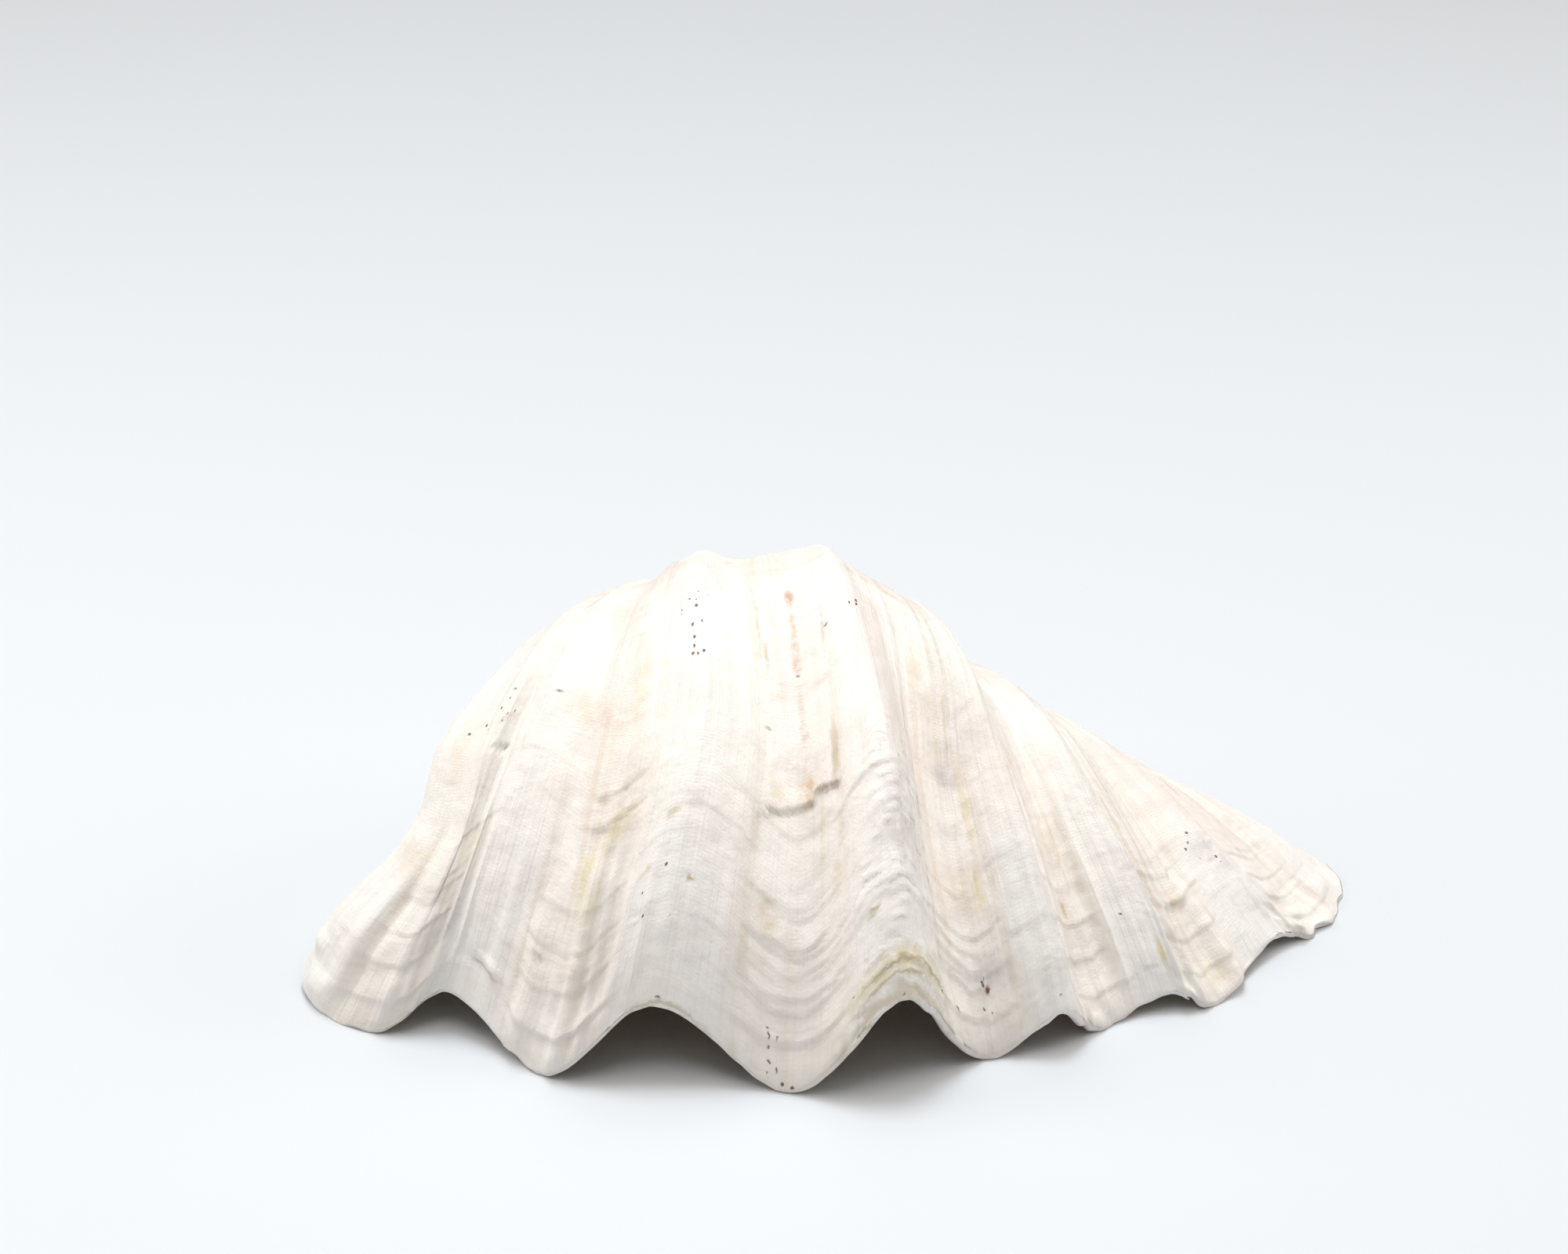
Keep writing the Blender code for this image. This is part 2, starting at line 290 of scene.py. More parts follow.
class ClosedSpline:
    """A closed curve through given points that bends evenly; whole numbers land on the points."""

    def __init__(self, points):
        self.points = np.array(points, dtype=float)
        self.count = len(self.points)
        ahead = np.roll(self.points, -1, axis=0)
        self.spans = np.sqrt(np.linalg.norm(ahead - self.points, axis=1))
        self.bends = self.solve_bends(ahead)

    def solve_bends(self, ahead):
        """Second derivatives at the points, from the condition that slopes meet."""
        before = np.roll(self.spans, 1)
        rise = (ahead - self.points) / self.spans[:, None]
        system = np.diag(2 * (before + self.spans))
        for i in range(self.count):
            system[i, (i + 1) % self.count] += self.spans[i]
            system[i, (i - 1) % self.count] += before[i]
        return np.linalg.solve(system, 6 * (rise - np.roll(rise, 1, axis=0)))

    def __call__(self, way):
        way = np.asarray(way) % self.count
        first = np.minimum(way.astype(int), self.count - 1)
        second = (first + 1) % self.count
        span = self.spans[first][..., None]
        b = (way - first)[..., None]
        a = 1 - b
        bend = (a ** 3 - a) * self.bends[first] + (b ** 3 - b) * self.bends[second]
        return a * self.points[first] + b * self.points[second] + bend * span ** 2 / 6


def edge_points():
    points = [RIB_ENDS[0]]
    for groove, rib in zip(GROOVE_ENDS, RIB_ENDS[1:]):
        points += [groove, rib]
    return points + [BYSSAL_EDGE, HINGE_EDGE, SHORT_BACK_EDGE]


todays_edge = ClosedSpline(edge_points())


def calm_edge(way, taps=9):
    """Today's edge with its ribs smoothed away: each point averaged over a whole rib."""
    reach = np.linspace(-1, 1, taps)
    weights = 1 + np.cos(np.pi * reach)
    return sum(weight * todays_edge(way + step) for step, weight in zip(reach, weights)) / weights.sum()


print("today's edge has", todays_edge.count, "points, the hinge is at way", HINGE_WAY)

# %% [markdown]
# ## The net
# The surface is a closed net. Its columns run from the beak to the edge, as the ribs do, and its
# rows follow the edge, as the growth lines do. From the beak it runs down the outer face, turns
# round the lip, and goes back up inside. The net is only a map at first: each point knows how far
# along the edge it is, how old the shell is there, and on which side of the wall. Geometry Nodes
# then put it in place. More rows lie near today's edge, where the finest growth lines are.

# %% Rows and columns
FRONT_COLUMNS_PER_WAY = 24
BACK_COLUMNS_PER_WAY = 12
OUTER_SPANS = [(0.014, 0.70, 98), (0.70, 1.40, 62), (1.40, 3.20, 36)]
LIP_ROWS = 9
INNER_ROWS = 34
CAVITY_TURN = 1.9


def column_ways():
    back = np.arange(-2, 0, 1 / BACK_COLUMNS_PER_WAY)
    front = np.arange(0, LONG_END_WAY, 1 / FRONT_COLUMNS_PER_WAY)
    return np.concatenate([back, front, back + HINGE_WAY])


def net_rows():
    """One (age, lip, depth) for each row: its age, its turn round the lip, its depth inside."""
    outer = np.concatenate([np.linspace(young, old, rows, endpoint=False) for young, old, rows in OUTER_SPANS])
    rows = [(age, 0.0, 0.0) for age in outer[::-1]]
    rows += [(0.0, turn, 0.0) for turn in np.linspace(0.05, 0.95, LIP_ROWS)]
    inside = np.linspace(0, 1, INNER_ROWS + 1)[1:-1]
    return rows + [(CAVITY_TURN * depth, 1.0, depth) for depth in inside]


def store(mesh, name, kind, values):
    attribute = mesh.attributes.new(name, kind, "POINT")
    key = "vector" if kind == "FLOAT_VECTOR" else "value"
    attribute.data.foreach_set(key, np.ascontiguousarray(values, dtype=np.float32).ravel())


def net_faces(rows, columns):
    """Quads between the rows, a fan to the beak's tip (first point) and one inside (last)."""
    start = 1 + np.arange(rows)[:, None] * columns
    here = np.arange(columns)
    after = (here + 1) % columns
    near, far = start[:-1], start[1:]
    quads = np.stack([near + here, far + here, far + after, near + after], axis=-1).reshape(-1, 4)
    last = 1 + rows * columns
    tip = [(0, 1 + i, 1 + j) for i, j in zip(here.tolist(), after.tolist())]
    end = [(last, int(start[-1, 0]) + j, int(start[-1, 0]) + i) for i, j in zip(here.tolist(), after.tolist())]
    return tip + quads.tolist() + end


def make_net():
    ways, rows = column_ways(), net_rows()
    way = np.tile(ways, len(rows))
    age, lip, depth = (np.repeat([row[i] for row in rows], len(ways)) for i in range(3))
    row = np.repeat(np.arange(len(rows)), len(ways)) + 1
    ends = {"way": (7, 7), "age": (3.2, CAVITY_TURN), "lip": (0, 1), "depth": (0, 1), "row": (0, len(rows))}
    fields = {"way": way, "age": age, "lip": lip, "depth": depth, "row": row}
    mesh = bpy.data.meshes.new("net")
    points = np.zeros((len(way) + 2, 3))
    points[1:-1, 0], points[1:-1, 1] = way, row
    mesh.from_pydata(points.tolist(), [], net_faces(len(rows), len(ways)))
    for name, values in fields.items():
        store(mesh, name, "FLOAT", np.concatenate([[ends[name][0]], values, [ends[name][1]]]))
    nudge = 0.01
    for name, line in (("edge", todays_edge), ("calm_edge", calm_edge)):
        at = np.pad(line(way), ((1, 1), (0, 0)), mode="edge")
        slope = np.pad((line(way + nudge) - line(way - nudge)) / (2 * nudge), ((1, 1), (0, 0)), mode="edge")
        store(mesh, name, "FLOAT_VECTOR", at)
        store(mesh, name + "_slope", "FLOAT_VECTOR", slope)
    return mesh, len(rows), len(ways)


net_mesh, row_count, column_count = make_net()
print("net:", row_count, "rows of", column_count, "points")

# %% [markdown]
# ## The growth rule
# A clam adds shell along its edge and keeps its shape while it does so. So every older edge is
# today's edge made smaller and turned about an axis through the beak, and the outer face is all
# those edges together. The sum is put in a node group, because it is needed four times: once for
# the place itself, and three times close by, to know which way the surface faces. Lists of soft
# bumps say where a rib of this one shell swelled, or leaned to a side. The formula of a bump is a
# small group of its own, used once for each row: a short tree is also quicker to build.

# %% The rule as a node group
BEAK = (-16.5, 114.0, 31.5)
AXIS_YAW = math.radians(-1.8)
AXIS_TILT = math.radians(-5.8)
AXIS = (math.cos(AXIS_YAW) * math.cos(AXIS_TILT), math.sin(AXIS_YAW) * math.cos(AXIS_TILT), math.sin(AXIS_TILT))
FULL_TURN = 3.45
SHRINK_ACROSS = (0.36, 0.04, 0.11)
SHRINK_ALONG = (0.38, 0.02, -0.02)
HALF_LENGTH = 125.0
BEAK_DROP = 14.0
BEAK_DROP_START = 1.6
BEAK_TIP = (BEAK[0], BEAK[1], BEAK[2] - BEAK_DROP)
STRAIGHT_SHRINK = 1.3
HINGE_FADE = (1.3, 0.25)
YOUNG_RIBS_MISSING = 0.8
RIBS_FULL_AGE = 0.25
RIBS_YOUNG_AGE = 1.4
FLANK_HOLLOW = 0.022
SWELLS = [(2.0, 1.6, 1.3, 0.7, 0.03), (4.0, 1.4, 1.4, 0.7, 0.015), (5.2, 1.0, 1.4, 0.7, 0.085),
          (6.0, 1.2, 1.4, 0.7, 0.065), (7.2, 1.2, 1.3, 0.7, 0.2), (8.2, 1.2, 1.2, 0.6, 0.11),
          (10.0, 1.4, 1.0, 0.5, 0.03), (14.0, 2.0, 0.6, 0.5, 0.035)]
LEANS = [(0.0, 1.6, 0.5, 0.32, 6.5), (2.0, 2.0, 0.8, 0.8, -2.0), (4.0, 1.6, 0.7, 0.7, 2.5),
         (4.0, 1.6, 1.4, 0.8, -5.5), (6.0, 1.4, 1.35, 0.8, -3.0), (8.0, 1.6, 1.3, 0.7, -8.0)]
CHIPS = [(6.42, 0.12, 0, 0.05, 0.012), (13.15, 0.16, 0, 0.06, 0.03), (13.6, 0.14, 0, 0.06, 0.02),
         (8.72, 0.12, 0, 0.05, 0.014), (10.55, 0.14, 0, 0.05, 0.014),
         (12.7, 0.2, 0, 0.05, 0.012), (2.7, 0.1, 0, 0.04, 0.006), (0.75, 0.15, 0, 0.05, 0.01)]
UNEVEN_EDGE = 0.02
UNEVEN_REACH = 0.12


def bump(way, age, middle, reach, old, age_reach, height):
    """A soft bump round one way and age."""
    return ((way - middle) / reach).bell() * ((age - old) / age_reach).bell() * height


bump_group = formula_group(bump, ("Middle", "Reach", "Old", "Age reach", "Height"))


def sum_of_bumps(way, age, bumps):
    return sum(for_each_row(bump_group, way, age, bumps))


def near_hinge(way):
    """1 along the hinge, fading to 0 towards both ends of the back edge."""
    return (9 - abs(way - 7)).smooth(*HINGE_FADE)


def on_ribs(way):
    return abs(way - 7).to("LESS_THAN", 7)


def growth_rule():
    inputs = {"Way": "Float", "Age": "Float", "Calm": "Float", "Edge": "Vector", "Calm edge": "Vector"}
    graph, given, end = new_group("growth_rule", inputs, {"Place": "Vector"})
    way, calm = given["Way"], given["Calm"]
    uneven = (graph.noise(graph.vector(way, 0, 0), 3) - 0.5) * (given["Age"] * (1 / UNEVEN_REACH)).bell()
    age = given["Age"] + uneven * UNEVEN_EDGE + sum_of_bumps(way, given["Age"], CHIPS)
    missing = (age.smooth(RIBS_FULL_AGE, RIBS_YOUNG_AGE) * YOUNG_RIBS_MISSING).to("MAXIMUM", calm)
    edge = given["Edge"] + (given["Calm edge"] - given["Edge"]) * missing
    out = edge - BEAK
    along = out.to("DOT_PRODUCT", AXIS)
    across = out - along * AXIS
    place = along * (1 / HALF_LENGTH)
    left = 1 - age * (1 / FULL_TURN)
    constant, linear, square = SHRINK_ACROSS
    size_across = left ** ((constant + place * linear + place * place * square) * FULL_TURN)
    constant, linear, square = SHRINK_ALONG
    size_along = left ** ((constant + place * linear + place * place * square) * FULL_TURN)
    turned = across * age.to("COSINE") + across.to("CROSS_PRODUCT", AXIS) * age.to("SINE")
    drop = age.smooth(BEAK_DROP_START, FULL_TURN) * BEAK_DROP
    swept = turned * size_across + (size_along * along) * AXIS - drop * (0, 0, 1)
    hollow = (way * math.pi).to("SINE")
    hollow = hollow * hollow * on_ribs(way) * age.smooth(0.05, 0.5) * FLANK_HOLLOW
    swell = (sum_of_bumps(way, age, SWELLS) - hollow) * (1 - calm)
    swept = swept + swept * swell
    swept = swept + (sum_of_bumps(way, age, LEANS) * (1 - calm)) * AXIS + BEAK
    straight = edge + (BEAK_TIP - edge) * (1 - left ** STRAIGHT_SHRINK)
    graph.plug(end.inputs["Place"], swept + (straight - swept) * near_hinge(way))
    return graph.tree


rule = growth_rule()
print("growth rule:", len(rule.nodes), "nodes")

# %% [markdown]
# ## Relief
# The growth rule gives a smooth, ribbed shell. The real one is rougher: its grooves have flat floors
# with steep sides, cords run down it, thin scales of shell overlap towards the edge like roof tiles,
# ledges stand where growth halted, and knocks left dents and a broken step. All of these are
# heights along the surface's own direction, so they are added up in one sum, in millimetres. Most
# follow noise and repeat. The ones that make this shell this shell are short lists: each has a
# middle and a reach along the edge, and an age. Growth lines wobble, because noise bends their age.

# %% Where growth halted
HALTS = [(0.085, 0.25, 0.05), (0.22, 0.3, 0.08), (0.40, 0.25, 0.08), (0.86, 0.3, 0.1), (1.20, 0.3, 0.15)]
LOCAL_HALTS = [(5.0, 0.6, 0.10, 0.35, 0.05), (5.05, 0.6, 0.16, 0.5, 0.05), (5.0, 0.6, 0.24, 0.3, 0.06),
               (4.93, 0.5, 0.295, 0.6, 0.06), (5.0, 0.6, 0.375, 0.3, 0.06), (4.95, 0.5, 0.53, 0.35, 0.06),
               (6.0, 0.75, 0.055, 0.4, 0.03), (6.05, 0.7, 0.083, 0.55, 0.03), (6.0, 0.6, 0.108, 0.3, 0.03),
               (8.1, 0.45, 0.112, 0.4, 0.02), (8.15, 0.4, 0.131, 0.45, 0.02), (8.15, 0.35, 0.15, 0.3, 0.03),
               (4.22, 0.5, 0.455, 0.3, 0.12), (3.1, 0.35, 0.632, 0.5, 0.08), (3.1, 0.5, 0.553, 0.4, 0.08),
               (1.9, 0.5, 0.69, 0.15, 0.12), (1.3, 0.8, 0.50, 0.35, 0.1), (6.05, 0.9, 0.50, 0.55, 0.05),
               (5.2, 1.0, 1.30, 0.5, 0.12), (6.4, 0.8, 1.22, 0.5, 0.1), (6.75, 0.5, 0.24, 0.6, 0.03),
               (6.8, 0.45, 0.20, 0.6, 0.03), (6.85, 0.4, 0.16, 0.5, 0.03), (11.6, 0.9, 0.42, 0.3, 0.08),
               (11.25, 0.45, 0.285, 0.8, 0.05), (3.1, 0.6, 0.085, 0.5, 0.06), (10.4, 0.6, 0.36, 0.4, 0.06)]
STEP_MIDDLE, STEP_REACH, STEP_HEIGHT, STEP_RAMP = 5.02, 0.46, 1.15, 0.2
STEP_AGE, STEP_ARCH, STEP_JUMP, STEP_JAGS = 0.594, 0.35, 0.032, 0.05


def bent_age(graph, way, age):
    """Age, bent by slow noise and a little by quick noise: the growth lines follow it."""
    slow = (graph.noise(graph.vector(way * 1.3, age * 2, 0), 1, 3) - 0.5) * 0.07
    quick = (graph.noise(graph.vector(way * 9, age * 7, 4), 1, 2) - 0.5) * 0.018
    return age + slow + quick


def ridge(behind, ramp, sharpness=0.004):
    """1 just behind the place where growth halted, 0 before it, dying away with age."""
    return behind.smooth(-sharpness, sharpness) * (behind * (-1 / ramp)).to("EXPONENT")


def ledge(way, age, middle, reach, halt, height, ramp):
    """A step down at one age, for a reach round one way."""
    share = ((way - middle) / reach).bell().smooth(0, 0.5)
    return ridge(age - halt, ramp) * share * height


ledge_group = formula_group(ledge, ("Middle", "Reach", "Halt", "Height", "Ramp"))


def halt_ledges(graph, way, age, bent):
    total = 0
    for halt, height, ramp in HALTS:
        worn = graph.noise(graph.vector(way * 1.4, halt * 50, 7), 1, 2).smooth(0.42, 0.62)
        total = total + ridge(bent - halt, ramp) * (worn * height)
    jagged = age + (graph.noise(graph.vector(way * 8, age * 12, 6), 1, 4) - 0.5) * 0.05
    return total + sum(for_each_row(ledge_group, way, jagged, LOCAL_HALTS))


def behind_step(graph, way, age):
    """How much older the shell is than the jagged edge of its broken layer, and where that lies."""
    jagged = (graph.noise(graph.vector(way * 8, 0, 2), 1, 4, 0.6) - 0.5) * STEP_JAGS
    away = way - 5
    edge = STEP_AGE - away * away * STEP_ARCH + way.smooth(5.11, 5.17) * STEP_JUMP + jagged
    return age - edge, abs(way - STEP_MIDDLE).smooth(STEP_REACH, STEP_REACH - 0.07)


# %% Cords, scales and dents
FLOOR_DEPTH = 1.7
DEEPEST = 2.0
CORDS = [(2.66, 0.15, -1, 0.36, 1.3), (3.07, 0.13, -1, 0.48, 1.0), (3.27, 0.08, -1, 0.42, 0.6),
         (2.9, 0.08, 0.12, 0.9, 0.35), (3.15, 0.08, 0.5, 1.1, 0.4), (2.35, 0.06, 0.14, 0.42, 0.35),
         (2.18, 0.06, 0.16, 0.45, 0.3), (1.9, 0.08, 0.14, 0.4, 0.3), (0.45, 0.14, 0.1, 0.4, 0.6),
         (0.95, 0.12, 0.02, 0.2, 0.5), (4.84, 0.09, 0.62, 1.3, 0.3), (5.2, 0.1, 0.62, 1.3, 0.35),
         (6.84, 0.08, -1, 0.6, 0.6), (7.1, 0.07, 0.03, 0.9, 0.6), (7.37, 0.07, -1, 0.9, 0.7),
         (8.78, 0.1, 0.0, 0.6, 0.5), (9.22, 0.1, 0.05, 0.55, 0.7), (9.55, 0.07, 0.1, 0.45, 0.45),
         (9.85, 0.07, 0.1, 0.4, 0.3), (10.4, 0.09, 0.02, 0.42, 0.6), (10.8, 0.15, -1, 0.27, 1.1),
         (11.37, 0.15, -1, 0.27, 2.0), (11.25, 0.1, 0.3, 0.7, 0.7), (10.75, 0.1, 0.3, 0.6, 0.6),
         (12.5, 0.12, 0.05, 0.3, 0.5), (3.75, 0.05, 0.1, 0.42, 0.2), (4.15, 0.05, 0.1, 0.42, 0.2)]
DENTS = [(1.42, 0.3, 0.38, 0.22, 1.4), (9.42, 0.25, 0.58, 0.22, 1.3), (1.14, 0.1, 0.772, 0.01, -1.2), (1.27, 0.1, 0.748, 0.012, -1.6), (1.4, 0.1, 0.728, 0.012, -1.6),
         (2.18, 0.22, 0.11, 0.035, -0.6), (2.3, 0.22, 0.13, 0.022, 0.8), (11.9, 0.3, 0.35, 0.05, -0.5),
         (12.1, 0.3, 0.5, 0.08, -0.5), (0.7, 0.4, 0.45, 0.12, 1.0), (2.68, 0.06, 0.235, 0.012, -0.5),
         (3.62, 0.1, 0.335, 0.016, 0.3), (4.1, 0.05, 0.285, 0.008, -0.4), (11.85, 0.1, 0.31, 0.015, -0.5),
         (12.05, 0.1, 0.385, 0.02, 0.35), (1.0, 0.4, 0.12, 0.06, 0.7), (13.3, 0.25, 0.2, 0.05, -0.5),
         (10.5, 0.3, 0.03, 0.03, 1.0), (11.3, 0.25, 0.02, 0.035, 1.2), (12.75, 0.22, 0.05, 0.045, 1.8),
         (13.25, 0.2, 0.03, 0.035, 1.4), (12.35, 0.2, 0.1, 0.04, -1.0), (13.05, 0.14, 0.11, 0.03, 0.9),
         (9.0, 0.3, 0.03, 0.03, 0.8), (0.3, 0.25, 0.06, 0.05, 1.4), (0.05, 0.2, 0.14, 0.04, 1.2),
         (12.9, 0.2, 0.2, 0.05, 0.9), (13.6, 0.2, 0.12, 0.05, 0.9)]
SCALES_PER_AGE = 32
WAVES_PER_AGE = 11
FINE_CORDS_PER_WAY = 4.3


def cord(way, age, middle, reach, start, stop, height):
    """A low ridge that runs down one way, between two ages."""
    span = age.smooth(start - 0.04, start) * age.smooth(stop + 0.08, stop - 0.08)
    return ((way - middle) / reach).bell() * span * height


cord_group = formula_group(cord, ("Middle", "Reach", "Start", "Stop", "Height"))


def saw(age, per_age):
    """Overlapping scales: each starts high at its free edge and sinks under the next older one."""
    return 1 - (age * per_age).to("FRACT")


def groove_floor(way):
    """1 on the flat floor of each groove, 0 on the ribs, with a steep side between."""
    return (way * math.pi).to("COSINE").smooth(0.08, -0.3) * on_ribs(way)


def scale_age(graph, way, bent):
    """The age that scales follow: their edges are wavy, and unevenly far apart."""
    return bent + (graph.noise(graph.vector(way * 5, bent * 16, 11), 1, 4) - 0.5) * 0.1


def scaly(graph, way, age):
    """Where thin scales show, and how much: mostly on one rib, in patches."""
    patchy = graph.noise(graph.vector(way * 4, age * 14, 5), 1, 2).smooth(0.42, 0.6)
    return (((way - 6.0) * (1 / 0.8)).bell() * 0.85 + 0.15) * age.smooth(0.75, 0.5) * patchy


def relief(graph, given, way, age, place):
    bent = bent_age(graph, way, age)
    lumps = (graph.noise(place, 1 / 22) - 0.5) * 2 + (graph.noise(place, 1 / 7, 3) - 0.5) * 2
    scales = saw(scale_age(graph, way, bent), SCALES_PER_AGE) * scaly(graph, way, age)
    waves = saw(bent, WAVES_PER_AGE) * groove_floor(way) * age.smooth(0.5, 0.3)
    fine_cords = (way * (2 * math.pi * FINE_CORDS_PER_WAY)).to("COSINE") * 0.4
    fine_cords = fine_cords + (graph.noise(graph.vector(way * 7, age * 0.8, 9), 1, 3) - 0.5) * 3
    cords = sum(for_each_row(cord_group, way, age, CORDS))
    uneven = 0.6 + graph.noise(graph.vector(way * 3, age * 12, 1), 1, 2) * 0.8
    floor = groove_floor(way) * age.smooth(0.02, 0.16) * age.smooth(1.2, 0.5) * FLOOR_DEPTH
    behind, share = behind_step(graph, way, age)
    step = ridge(behind, STEP_RAMP, 0.003) * share * STEP_HEIGHT
    total = lumps * given["Lump height"] + halt_ledges(graph, way, age, bent) * given["Ledge height"]
    total = total + scales * given["Scale height"] + waves * given["Wave height"]
    cords = cords * given["Cord height"] * uneven + fine_cords * given["Fine cord height"]
    total = total + cords * age.smooth(1.5, 0.9) * age.smooth(-0.01, 0.06)
    total = total + step - floor + sum_of_bumps(way, age, DENTS)
    return total.to("MAXIMUM", -DEEPEST)


# %% [markdown]
# ## The wall and its lip
# The wall is thin at today's edge and thick under the crown. The edge is rounded over in half a
# circle. Along the hinge it is a flat plate instead, with a long tooth and the socket for the
# other valve's tooth. The inner face is the outer one moved in, with its ribs faded, because the
# clam smooths the inside as it lives there. The tree below puts every point of the net in place.

# %% The geometry node tree
SIZES = {"Lip thickness": 2.6, "Crown thickness": 8.0, "Hinge thickness": 9.0, "Lump height": 0.45,
         "Ledge height": 0.9, "Scale height": 0.5, "Wave height": 0.35, "Cord height": 1.5,
         "Fine cord height": 0.28}
WAY_NUDGE = 0.01
AGE_NUDGE = 0.004
SLANT_LIMIT = 0.45
SOCKET_DEPTH = 2.6


def wall_thickness(given, depth, hinge):
    body = given["Lip thickness"] + (given["Crown thickness"] - given["Lip thickness"]) * depth.smooth(0, 0.8)
    plate = given["Hinge thickness"] + (given["Crown thickness"] - given["Hinge thickness"]) * depth
    return body + (plate - body) * hinge


def hinge_profile(way, lip):
    """Height of the hinge plate's teeth, over its breadth."""
    rims = lip.smooth(0.12, 0.02) * 1.2 + lip.smooth(0.84, 0.98) * 1.4
    socket = ((lip - 0.6) * 4).bell() * ((9.55 - abs(way - 7)) * (1 / 0.6)).bell()
    return rims + socket * SOCKET_DEPTH


def grow_valve(material):
    inputs = {"Net": "Geometry", **{name: "Float" for name in SIZES}}
    graph, given, end = new_group("grow_valve", inputs, {"Shell": "Geometry"})

    def stored(name, kind="FLOAT"):
        return graph.add("GeometryNodeInputNamedAttribute", {"data_type": kind}, {"Name": name})

    way, age, lip, depth, row = (stored(name) for name in ("way", "age", "lip", "depth", "row"))
    edge, edge_slope, calm_line, calm_slope = (
        stored(name, "FLOAT_VECTOR") for name in ("edge", "edge_slope", "calm_edge", "calm_edge_slope"))
    calm = depth.smooth(0, 0.5)

    def place_at(further, older):
        sockets = {"Way": way + further, "Age": age + older, "Calm": calm,
                   "Edge": edge + edge_slope * further, "Calm edge": calm_line + calm_slope * further}
        return graph.add("GeometryNodeGroup", {"node_tree": rule}, sockets)

    here = place_at(0, 0)
    sideways = place_at(WAY_NUDGE, 0) - place_at(-WAY_NUDGE, 0)
    normal = sideways.to("CROSS_PRODUCT", place_at(0, AGE_NUDGE) - here).to("NORMALIZE")
    forward = sideways.to("CROSS_PRODUCT", normal).to("NORMALIZE")
    hinge = near_hinge(way)
    level = (normal * (1 - hinge * (0, 0, 1))).to("NORMALIZE")
    ring = graph.add("GeometryNodeAccumulateField", {"data_type": "FLOAT_VECTOR"}, {"Value": here, "Group ID": row}, "Total")
    middle = ring * (1 / column_count)
    outward = (here - middle).to("NORMALIZE")
    facing = outward.to("DOT_PRODUCT", level).to("MAXIMUM", SLANT_LIMIT)
    inward = level + (outward * (1 / facing) - level) * depth.smooth(0, 0.4)
    thickness = wall_thickness(given, depth, hinge)
    on_lip = (lip * (1 - lip)).to("GREATER_THAN", 0)
    round_share = (1 - (lip * math.pi).to("COSINE")) * 0.5
    share = round_share + (lip - round_share) * hinge
    back = thickness * (1 - (lip * math.pi).to("SINE")) * (1 - hinge) * on_lip * 0.5
    height = relief(graph, given, way, age, here) * (1 - hinge) * (1 - share)
    place = here + normal * height - forward * back - inward * (thickness * share)
    place = place + (hinge_profile(way, lip) * hinge * on_lip) * (0, 0, 1)
    pinch = (1 - depth ** 4).to("MAXIMUM", 0) ** 0.5
    place = middle + (place - middle) * pinch
    place = place + (BEAK_TIP - place) * row.to("LESS_THAN", 0.5)
    place = place.to("MAXIMUM", (-1000, -1000, 0)) * 0.001
    shell = graph.add("GeometryNodeSetPosition", {}, {"Geometry": given["Net"], "Position": place})
    for name, value in (("inside", share), ("hinge", hinge)):
        sockets = {"Geometry": shell, "Name": name, "Value": value}
        shell = graph.add("GeometryNodeStoreNamedAttribute", {"data_type": "FLOAT", "domain": "POINT"}, sockets)
    shell = graph.add("GeometryNodeRealizeInstances", {}, {"Geometry": shell})
    shell = graph.add("GeometryNodeSetMaterial", {}, {"Geometry": shell, "Material": material})
    graph.plug(end.inputs["Shell"], shell)
    return graph.tree


# %% [markdown]
# ## The shell's colours
# Sun and sea have bleached the shell to a chalky white, and what colour is left follows its growth:
# tints in the grooves that the ribs sheltered, and streaks down them. Painted shade is laid on too:
# darker lines along the groove walls and at the foot of ledges, scales and the broken step, grey in
# dents and hollows, and near black in the pits; most of these are partly dirt and stains as well.
# An image could hold that, but it would not follow the surface. Instead the colours are worked out
# from the way and the age that each point of the mesh still carries, so a mark stays on its rib.
# The same noise bends colour lines and ledges, so they lie on each other.

# %% Colours and where they lie
CHALK = (0.915, 0.885, 0.85)
COOL_WHITE = (0.90, 0.90, 0.89)
WARM = (0.86, 0.785, 0.715)
PINK = (0.9, 0.80, 0.765)
IVORY = (0.84, 0.77, 0.66)
# The inside's tan is partly its own tint and partly painted shade of the dark hollow.
INNER_TAN_AND_SHADE = (0.74, 0.52, 0.33)

